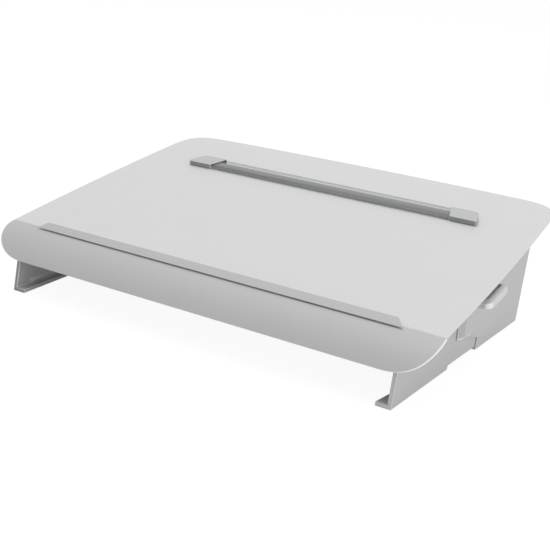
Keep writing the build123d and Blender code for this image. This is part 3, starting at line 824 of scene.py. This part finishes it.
@dataclass
class Grip:
    """A side grip: a rounded tab with a finger pocket, on a plate screwed to the deck's rib."""

    line: DeckLine = DeckLine()
    rib_x: float = 196.0
    plate: float = 2.0
    plate_high: float = 10.0
    plate_sink: float = 0.5
    top: float = -8.0
    thick: float = 5.4
    sole: float = 2.4
    tab_low: tuple[float, float] = (196.5, 83.6)
    tab_high: tuple[float, float] = (251.6, 128.0)
    pocket_low: tuple[float, float] = (206.0, 94.0)
    pocket_high: tuple[float, float] = (244.4, 126.4)
    corner: float = 6.5
    root_corner: float = 0.2
    pocket_corner: float = 1.0
    edge: float = 1.3
    pocket_edge: float = 0.35
    steps: int = 8

    def _ring(
        self,
        shape: Shape,
        low: tuple[float, float],
        high: tuple[float, float],
        radii: tuple[float, float, float, float],
        height: float,
    ) -> list[bmesh.types.BMVert]:
        """Place the points of a rectangle with round corners, from the rear right one onwards.

        Args:
            shape: The bmesh that takes the points.
            low: The rectangle's near left corner, across and along the deck.
            high: Its far right corner.
            radii: The four corners' radii, in the ring's order.
            height: The ring's height above the deck.

        Returns:
            The points, in order round the ring.
        """
        ring = []
        corners = ((high[0], high[1]), (low[0], high[1]), (low[0], low[1]), (high[0], low[1]))
        for quarter, ((x, y), radius) in enumerate(zip(corners, radii)):
            inward = (-1 if quarter in (0, 3) else 1, -1 if quarter < 2 else 1)
            centre = (x + inward[0] * radius, y + inward[1] * radius)
            for step in range(self.steps + 1):
                turn = (quarter + step / self.steps) * pi / 2
                point = (centre[0] + radius * cos(turn), centre[1] + radius * sin(turn), height)
                ring.append(shape.verts.new(point))
        return ring

    def shape(self, side: int) -> Shape:
        """Raise the tab round its pocket and add its plate.

        Args:
            side: 1 for the right-hand grip and -1 for the left-hand one.

        Returns:
            The grip in its place, in metres.
        """
        shape = bmesh.new()
        wide = (self.corner, self.root_corner, self.root_corner, self.corner)
        tight = (self.pocket_corner,) * 4
        bottom = self.top - self.thick
        under = self._ring(shape, self.tab_low, self.tab_high, wide, bottom)
        upper = self._ring(shape, self.tab_low, self.tab_high, wide, self.top)
        mouth = self._ring(shape, self.pocket_low, self.pocket_high, tight, self.top)
        sole = self._ring(shape, self.pocket_low, self.pocket_high, tight, bottom + self.sole)
        for first, second in ((under, upper), (upper, mouth), (mouth, sole)):
            for place in range(len(first)):
                after = (place + 1) % len(first)
                shape.faces.new((first[place], first[after], second[after], second[place]))
        shape.faces.new(list(reversed(under)))
        shape.faces.new(sole)
        for ring, reach in ((under, self.edge), (upper, self.edge), (mouth, self.pocket_edge)):
            known = set(ring)
            edges = [edge for edge in shape.edges if all(vert in known for vert in edge.verts)]
            round_edges(shape, edges, reach, 4)
        plate = bmesh.ops.create_cube(shape, size=1.0)["verts"]
        deep = self.tab_high[1] - self.tab_low[1]
        bmesh.ops.scale(shape, vec=(self.plate, deep, self.plate_high), verts=plate)
        middle = (self.tab_high[1] + self.tab_low[1]) / 2
        seat = (self.rib_x + self.plate / 2, middle, self.top - self.plate_sink)
        bmesh.ops.translate(shape, vec=seat, verts=plate)
        bmesh.ops.recalc_face_normals(shape, faces=shape.faces)
        bmesh.ops.transform(shape, matrix=self.line.place(side), verts=shape.verts)
        if side < 0:
            bmesh.ops.reverse_faces(shape, faces=shape.faces)
        return shape

    def is_near_corner(self, face: Facet) -> bool:
        """Say whether a face is on the corner that turns to the right and to the user."""
        return face.normal.x > 0.2 and face.normal.y < -0.2


@dataclass
class Deck:
    """The deck: its sheet, apron, paper ledge, side grips and the ribs under it."""

    bench: Bench
    body: str = "deck"
    apron: Apron = field(default_factory=Apron)
    grip: Grip = field(default_factory=Grip)

    def build(self) -> None:
        """Build and dress every piece that tilts with the deck."""
        self.bench.softened_piece("deck_panel", 0.4, POWDER_COAT, self.body, "deck_paint")
        shape = self.apron.shell()
        self.apron.add_tongue(shape)
        apron = self.bench.piece(
            "front_apron_shell", shape, ABS_MATT, self.body, "grey_plastic", ["front_apron"]
        )
        # Painted highlight along the apron's rounded rim.
        self.bench.part_finish(apron, ABS_WHITE_PAINTED_HIGHLIGHT, self.apron.is_rim)
        self.bench.softened_piece("paper_ledge", 0.16, ABS_MATT, self.body, "grey_plastic", 2)
        for node, side in zip(both("side_grip"), (-1, 1)):
            grip = self.bench.piece(
                f"{node}_shaped", self.grip.shape(side), ABS_GRIP_PAINTED_LIGHT, self.body, "grey_plastic", [node]
            )
            # Painted highlight on the grip's corner that turns to the right and to the user.
            self.bench.part_finish(grip, ABS_WHITE_PAINTED_HIGHLIGHT, self.grip.is_near_corner)
        self.bench.dress(COATED_PRESSING, [*both("deck_rib"), "front_stiffener", "rear_stiffener"])
        self.bench.dress(ACETAL, ["hinge_bushes"])


# ---------------- line guide


@dataclass
class LineGuide:
    """The sliding line guide: two caps with a clear carrier and a smoke-tinted bar."""

    bench: Bench
    body: str = "line_guide"
    line: DeckLine = DeckLine()
    cap_inner: float = 150.0
    cap_front: float = 216.5
    cap_depth: float = 23.0
    cap_gap: float = 0.15
    cap_edge: float = 0.45
    skew: float = 8.0
    strip_front: float = 217.0
    strip_rear: float = 240.5
    strip_top: float = 3.4
    strip_thick: float = 2.4
    strip_edge: float = 0.2
    bar_front: float = 218.3
    bar_rear: float = 232.3
    bar_rise: float = 0.7
    bar_bevel: float = 1.5
    bar_gap: float = 0.2
    bar_edge: float = 0.3

    def _reach(self, along: float) -> float:
        """Give half the strip's width at a distance up the slope, by the caps' slant."""
        return self.cap_inner - self.skew * (along - self.cap_front) / self.cap_depth - self.cap_gap

    def _on_deck(self, shape: Shape) -> Shape:
        """Move a shape from the deck's own axes into its place.

        Args:
            shape: The shape, in millimetres up the slope from the crease.

        Returns:
            The same shape, in metres.
        """
        bmesh.ops.transform(shape, matrix=self.line.place(), verts=shape.verts)
        bmesh.ops.recalc_face_normals(shape, faces=shape.faces)
        return shape

    def strip(self) -> Shape:
        """Cut the clear carrier to the caps' slant and break its edges.

        Returns:
            The carrier in its place, in metres.
        """
        shape = bmesh.new()
        bottom = self.strip_top - self.strip_thick
        corners = []
        for along, sides in ((self.strip_front, (-1, 1)), (self.strip_rear, (1, -1))):
            for side in sides:
                corners.append((side * self._reach(along), along, bottom))
        plan = shape.faces.new([shape.verts.new(corner) for corner in corners])
        raised = pull_face(shape, plan)
        bmesh.ops.translate(shape, vec=(0.0, 0.0, self.strip_thick), verts=raised)
        round_edges(shape, shape.edges[:], self.strip_edge, 2)
        return self._on_deck(shape)

    def bar(self) -> Shape:
        """Draw the tinted bar's bevelled section and run it between the caps.

        Returns:
            The bar in its place, in metres.
        """
        shape = bmesh.new()
        high = self.strip_top + self.bar_rise
        section = (
            (self.bar_front, self.strip_top),
            (self.bar_front + self.bar_bevel, high),
            (self.bar_rear - self.bar_bevel, high),
            (self.bar_rear, self.strip_top),
        )
        first = shape.faces.new([shape.verts.new((0.0, along, height)) for along, height in section])
        far = set(pull_face(shape, first))
        for vert in shape.verts:
            side = 1 if vert in far else -1
            vert.co.x = side * (self._reach(vert.co.y) - self.bar_gap)
        level = high - WELD
        upper = [edge for edge in shape.edges if all(vert.co.z > level for vert in edge.verts)]
        round_edges(shape, upper, self.bar_edge, 2)
        return self._on_deck(shape)

    def is_painted_shade_side(self, face: Facet) -> bool:
        """Say whether a face is one of a cap's flat sides, and not on a rounded corner."""
        flat = not 0.4 < abs(face.normal.x) < 0.9
        return flat and face.normal.z < 0.55

    def is_cut_edge(self, face: Facet) -> bool:
        """Say whether a face is on the clear carrier's cut edge."""
        return abs(face.normal.z) < 0.6

    def build(self) -> None:
        """Build and dress the guide's pieces."""
        for node in both("guide_cap"):
            cap = self.bench.softened_piece(
                node, self.cap_edge, ABS_SILVER, self.body, "guide_grey"
            )
            # Painted shade on the caps' flat steep sides; their rounded corners keep the top's lighter
            # tone.
            self.bench.part_finish(cap, ABS_CAP_SIDE_PAINTED_SHADE, self.is_painted_shade_side)
        strip = self.bench.piece(
            "guide_strip_cut", self.strip(), ACRYLIC, self.body, "clear_plastic", ["guide_strip"]
        )
        self.bench.part_finish(strip, ACRYLIC_EDGE, self.is_cut_edge)
        strip.visible_shadow = False
        self.bench.piece(
            "guide_bar_tinted", self.bar(), SMOKED_ACRYLIC, self.body, "tinted_plastic", ["guide_lens"]
        )
        self.bench.dress(FELT, ["guide_pads"])
        self.bench.dress(NICKEL_PLATE, ["guide_magnets"])


# ---------------- screws and feet


@dataclass
class ScrewSet:
    """Rows of small button-head screws with a hexagon socket."""

    bench: Bench
    shank: float = 1.5
    head: float = 2.8
    head_high: float = 1.2
    head_skirt: float = 0.12
    tip: float = 0.3
    socket: float = 1.15
    socket_deep: float = 0.7
    steps: int = 24

    def _lathe(self, length: float) -> Shape:
        """Turn one screw with its seat at height 0 and its tip below.

        Args:
            length: The shank's length under the head, in millimetres.

        Returns:
            The screw, upright at the origin, in millimetres.
        """
        shape = bmesh.new()
        crown = [
            (self.head * 0.55, self.head_high),
            (self.head * 0.8, self.head_high * 0.85),
            (self.head * 0.95, self.head_high * 0.5),
            (self.head, self.head_skirt),
            (self.head, 0.0),
            (self.shank, 0.0),
            (self.shank, self.tip - length),
            (self.shank - self.tip, -length),
            (0.0, -length),
        ]
        turn_profile(shape, crown, self.steps)
        bmesh.ops.remove_doubles(shape, verts=shape.verts, dist=WELD)
        rim = [edge for edge in shape.edges if edge.is_boundary]
        ring = bmesh.ops.create_circle(shape, segments=6, radius=self.socket, cap_ends=True)["verts"]
        bmesh.ops.translate(shape, vec=(0.0, 0.0, self.head_high), verts=ring)
        mouth = next(face for face in shape.faces if all(vert in ring for vert in face.verts))
        sides = list(mouth.edges)
        pushed = bmesh.ops.extrude_discrete_faces(shape, faces=[mouth])["faces"][0]
        bmesh.ops.translate(shape, vec=(0.0, 0.0, -self.socket_deep), verts=list(pushed.verts))
        bmesh.ops.bridge_loops(shape, edges=[*rim, *sides])
        bmesh.ops.recalc_face_normals(shape, faces=shape.faces)
        return shape

    def build(self, node: str, turn: Turn, body: str) -> None:
        """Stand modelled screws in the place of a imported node's plain ones.

        Args:
            node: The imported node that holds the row.
            turn: The axis that the screws lie along.
            body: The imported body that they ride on.
        """
        row = bmesh.new()
        axis = turn.value
        others = [place for place in range(3) if place != axis]
        head_only = (self.shank + self.head) / 2.0 * MM
        for points in solids_of(node):
            low = Vector([min(point[place] for point in points) for place in range(3)])
            high = Vector([max(point[place] for point in points) for place in range(3)])
            middle = (low + high) / 2.0
            wide = [
                point[axis]
                for point in points
                if hypot(*(point[place] - middle[place] for place in others)) > head_only
            ]
            outward = 1.0 if sum(wide) / len(wide) > middle[axis] else -1.0
            seat = middle.copy()
            end = high[axis] if outward > 0 else low[axis]
            seat[axis] = end - outward * self.head_high * MM
            direction = Vector((0.0, 0.0, 0.0))
            direction[axis] = outward
            length = (high[axis] - low[axis]) / MM - self.head_high
            screw = self._lathe(length)
            turned = direction.to_track_quat("Z", "Y").to_matrix().to_4x4()
            place = Matrix.Translation(seat) @ turned @ Matrix.Scale(MM, 4)
            bmesh.ops.transform(screw, matrix=place, verts=screw.verts)
            holder = bpy.data.meshes.new("screw")
            screw.to_mesh(holder)
            screw.free()
            row.from_mesh(holder)
            bpy.data.meshes.remove(holder)
        self.bench.piece(f"{node}_turned", row, ZINC_PLATE, body, "screw_steel", [node], 35.0, False)


@dataclass
class Foot:
    """A moulded rubber foot: a disc with a rounded rim and a shallow dished sole."""

    bench: Bench
    radius: float = 5.0
    high: float = 0.5
    dish: float = 0.12
    rim: float = 0.25
    rim_middle: float = 0.07
    steps: int = 32

    def build(self, body: str) -> None:
        """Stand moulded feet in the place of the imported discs.

        Args:
            body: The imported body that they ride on.
        """
        row = bmesh.new()
        for points in solids_of("rubber_feet"):
            centre = sum(points, Vector()) / len(points)
            profile = [
                (0.0, self.dish),
                (self.radius * 0.62, self.dish),
                (self.radius * 0.74, 0.0),
                (self.radius - self.rim, 0.0),
                (self.radius - self.rim_middle, self.rim_middle),
                (self.radius, self.rim),
                (self.radius, self.high),
                (0.0, self.high),
            ]
            turn_profile(row, profile, self.steps)
            fresh = [vert for vert in row.verts if not vert.tag]
            bmesh.ops.scale(row, vec=(MM, MM, MM), verts=fresh)
            bmesh.ops.translate(row, vec=(centre.x, centre.y, 0.0), verts=fresh)
            for vert in fresh:
                vert.tag = True
        bmesh.ops.remove_doubles(row, verts=row.verts, dist=WELD * MM)
        bmesh.ops.recalc_face_normals(row, faces=row.faces)
        self.bench.piece("rubber_feet_moulded", row, RUBBER, body, "rubber", ["rubber_feet"], 35.0)


# ---------------- base, carriage and drawer


@dataclass
class Base:
    """The fixed base: brackets, cheeks with their arms, rear panel, rails and feet."""

    bench: Bench
    screws: ScrewSet
    foot: Foot
    body: str = "base"
    # Where the rib top along a bracket and the front lip of a cheek's arm take a painted highlight, in
    # millimetres.
    spine_across: tuple[float, float] = (211.5, 213.8)
    spine_heights: tuple[float, float] = (5.5, 14.0)
    arm_near: float = -12.0

    def is_spine_top(self, face: Facet) -> bool:
        """Say whether a face is the upper side of the rib along a bracket's inner wall.

        Args:
            face: A face of a bracket.

        Returns:
            True on the rib's upper side.
        """
        across, height = abs(face.center.x) / MM, face.center.z / MM
        inboard = self.spine_across[0] < across < self.spine_across[1]
        level = self.spine_heights[0] < height < self.spine_heights[1]
        return inboard and level and face.normal.z > 0.8

    def is_arm_lip(self, face: Facet) -> bool:
        """Say whether a face is the slanted lower lip at the front of a cheek's arm."""
        slanted = face.normal.z < -0.25 and abs(face.normal.x) > 0.25
        return slanted and face.center.y < self.arm_near * MM

    def is_near_end(self, face: Facet) -> bool:
        """Say whether a face looks to the user's side."""
        return face.normal.y < -0.75

    def build(self) -> None:
        """Build and dress the pieces that stay on the desk."""
        # Painted light and shade on the brackets: highlights on roundings turned to the right, shade on
        # the left bracket's near ends, light on the right one's.
        painted_edge_looks = ((0.8, ABS_WHITE_PAINTED_HIGHLIGHT, ABS_NEAR_END_PAINTED_SHADE), (0.45, ABS_PALE_PAINTED_HIGHLIGHT, ABS_RIGHT_NEAR_END_PAINTED_LIGHT))
        for node, (radius, rim, edge) in zip(both("front_bracket"), painted_edge_looks):
            bracket = self.bench.softened_piece(
                node, radius, ABS_SIDE, self.body, "grey_plastic", rim=rim
            )
            self.bench.part_finish(bracket, edge, self.is_near_end)
            self.bench.part_finish(bracket, ABS_WHITE_PAINTED_HIGHLIGHT, self.is_spine_top)
        # The cheeks' roundings turned to the right take a painted highlight, and their arm lips a white
        # one.
        for node in both("rear_cheek"):
            cheek = self.bench.softened_piece(
                node, 0.5, ABS_SIDE, self.body, "grey_plastic", rim=ABS_PALE_PAINTED_HIGHLIGHT
            )
            self.bench.part_finish(cheek, ABS_WHITE_PAINTED_HIGHLIGHT, self.is_arm_lip)
        self.bench.softened_piece("rear_panel", 0.35, COATED_PRESSING, self.body, "steel_sheet", 2)
        self.bench.dress(
            COATED_PRESSING,
            ["front_crossbar", *both("glide_rail"), *both("drawer_runner")],
        )
        for node, turn in (
            ("side_joint_screws", Turn.ACROSS),
            ("rail_screws", Turn.ACROSS),
            ("panel_screws", Turn.ALONG),
            ("crossbar_screws", Turn.UPRIGHT),
        ):
            self.screws.build(node, turn, self.body)
        self.foot.build(self.body)


@dataclass
class Carriage:
    """The carriage that glides in the rails and carries the deck's hinge."""

    bench: Bench
    screws: ScrewSet
    body: str = "carriage"

    def build(self) -> None:
        """Build and dress the carriage's pieces."""
        for node in both("carriage_arm"):
            self.bench.softened_piece(node, 0.3, COATED_PRESSING, self.body, "steel_sheet", 2)
        self.bench.dress(COATED_PRESSING, ["carriage_channel"])
        self.bench.dress(ZINC_PLATE, ["hinge_shaft"])
        self.bench.dress(ACETAL, [*both("notch_rack"), "glide_blocks"])
        self.bench.dress(RUBBER, ["deck_bumpers"])
        self.screws.build("channel_screws", Turn.ACROSS, self.body)
        self.screws.build("grip_screws", Turn.ACROSS, "deck")
        self.bench.dress(ZINC_PLATE, ["tilt_stay"])


@dataclass
class Drawer:
    """The shallow drawer, with its front, tray and crossed divider."""

    bench: Bench
    body: str = "drawer"

    def build(self) -> None:
        """Build and dress the drawer's pieces."""
        self.bench.softened_piece("drawer_tray", 0.4, TRAY_ETCH, self.body, "drawer_plastic", 2)
        self.bench.softened_piece("drawer_front", 0.5, ABS_SIDE, self.body, "grey_plastic")
        self.bench.dress(TRAY_ETCH, ["drawer_divider"])


# ---------------- studio


@dataclass(frozen=True)
class SoftBox:
    """A square soft light, aimed at a point, in metres and watts."""

    name: str
    place: tuple[float, float, float]
    aim: tuple[float, float, float]
    side: float
    power: float

    def build(self) -> None:
        """Hang the light."""
        data = bpy.data.lights.new(self.name, "AREA")
        data.shape = "SQUARE"
        data.size = self.side
        data.energy = self.power
        lamp = bpy.data.objects.new(self.name, data)
        lamp.location = self.place
        look = Vector(self.aim) - Vector(self.place)
        lamp.rotation_euler = look.to_track_quat("-Z", "Y").to_euler()
        bpy.context.scene.collection.objects.link(lamp)


@dataclass(frozen=True)
class Studio:
    """A white studio: plain floor, even sky, soft lights and the photograph's camera."""

    boxes: tuple[SoftBox, ...]
    sky_level: float = 0.52
    floor_side: float = 60.0
    floor_shade: float = 0.12
    floor_glow: float = 0.93
    eye: tuple[float, float, float] = (0.5536, -0.9237, 0.3772)
    yaw: float = 31.14
    pitch: float = 17.91
    roll: float = 4.39
    lens: float = 70.5

    def _seen(self, tree: bpy.types.NodeTree) -> bpy.types.NodeSocket:
        """Say whether a ray comes straight from the camera, a gloss or a clear piece.

        Args:
            tree: The node tree that asks.

        Returns:
            The socket that gives 1 for such a ray and 0 for any other.
        """
        path = add_node(tree, "ShaderNodeLightPath")
        first = add_node(
            tree,
            "ShaderNodeMath",
            {0: path.outputs["Is Camera Ray"], 1: path.outputs["Is Glossy Ray"]},
            operation="MAXIMUM",
        )
        last = add_node(
            tree,
            "ShaderNodeMath",
            {0: first.outputs[0], 1: path.outputs["Is Transmission Ray"]},
            operation="MAXIMUM",
        )
        return last.outputs[0]

    def sky(self) -> None:
        """Light the studio evenly, and show the sky as plain white."""
        world = bpy.data.worlds.new("studio_sky")
        bpy.context.scene.world = world
        world.use_nodes = True
        tree = world.node_tree
        tree.nodes.clear()
        light = add_node(
            tree, "ShaderNodeBackground", {"Color": linear(Tone.WHITE), "Strength": self.sky_level}
        )
        shown = add_node(tree, "ShaderNodeBackground", {"Color": linear(Tone.WHITE), "Strength": 1.0})
        mix = add_node(
            tree, "ShaderNodeMixShader", {0: self._seen(tree), 1: light.outputs[0], 2: shown.outputs[0]}
        )
        add_node(tree, "ShaderNodeOutputWorld", {"Surface": mix.outputs[0]})

    def floor(self) -> None:
        """Lay the floor: it shows white and keeps the object's soft shadow."""
        made = empty_material("studio_floor")
        tree = made.node_tree
        plain = add_node(tree, "ShaderNodeBsdfDiffuse", {"Color": linear(Tone.FLOOR_WHITE)})
        shade = (self.floor_shade, self.floor_shade, self.floor_shade, 1.0)
        faint = add_node(tree, "ShaderNodeBsdfDiffuse", {"Color": shade})
        glow = add_node(
            tree, "ShaderNodeEmission", {"Color": linear(Tone.WHITE), "Strength": self.floor_glow}
        )
        shown = add_node(tree, "ShaderNodeAddShader", {0: faint.outputs[0], 1: glow.outputs[0]})
        mix = add_node(
            tree, "ShaderNodeMixShader", {0: self._seen(tree), 1: plain.outputs[0], 2: shown.outputs[0]}
        )
        add_node(tree, "ShaderNodeOutputMaterial", {"Surface": mix.outputs[0]})
        shape = bmesh.new()
        bmesh.ops.create_grid(shape, x_segments=1, y_segments=1, size=self.floor_side / 2.0)
        mesh = bpy.data.meshes.new("studio_floor")
        shape.to_mesh(mesh)
        shape.free()
        mesh.materials.append(made)
        ground = bpy.data.objects.new("studio_floor", mesh)
        bpy.context.scene.collection.objects.link(ground)

    def camera(self) -> None:
        """Stand the camera where the photograph was taken from."""
        turn, dip, bank = radians(self.yaw), radians(self.pitch), radians(self.roll)
        ahead = Vector((-sin(turn) * cos(dip), cos(turn) * cos(dip), -sin(dip)))
        right = Vector((cos(turn), sin(turn), 0.0))
        up = right.cross(ahead)
        right, up = right * cos(bank) + up * sin(bank), up * cos(bank) - right * sin(bank)
        data = bpy.data.cameras.new("photograph")
        data.sensor_width = 36.0
        data.lens = self.lens
        data.clip_start = 0.05
        data.clip_end = 100.0
        camera = bpy.data.objects.new("photograph", data)
        pose = Matrix((right, up, -ahead)).transposed().to_4x4()
        camera.matrix_world = Matrix.Translation(self.eye) @ pose
        bpy.context.scene.collection.objects.link(camera)
        bpy.context.scene.camera = camera

    def build(self) -> None:
        """Set up the whole studio."""
        bpy.context.scene.view_settings.view_transform = "Standard"
        self.sky()
        self.floor()
        for box in self.boxes:
            box.build()
        self.camera()


SOFT_BOXES = (
    SoftBox("overhead", (-0.1, 0.1, 2.6), (0.0, 0.0, 0.0), 2.4, 29.0),
    SoftBox("right_side", (2.3, -0.4, 0.9), (0.0, 0.0, 0.05), 1.4, 11.0),
)


# ---------------- assembly


def main() -> None:
    """Build the whole object, then the studio round it."""
    logging.basicConfig(level=logging.INFO, format="%(message)s")
    bench = Bench()
    screws = ScrewSet(bench)
    Deck(bench).build()
    LineGuide(bench).build()
    Base(bench, screws, Foot(bench)).build()
    Carriage(bench, screws).build()
    Drawer(bench).build()
    Studio(SOFT_BOXES).build()
    log.info("%d modelled pieces", len(bench.made))


if __name__ == "__main__":
    main()
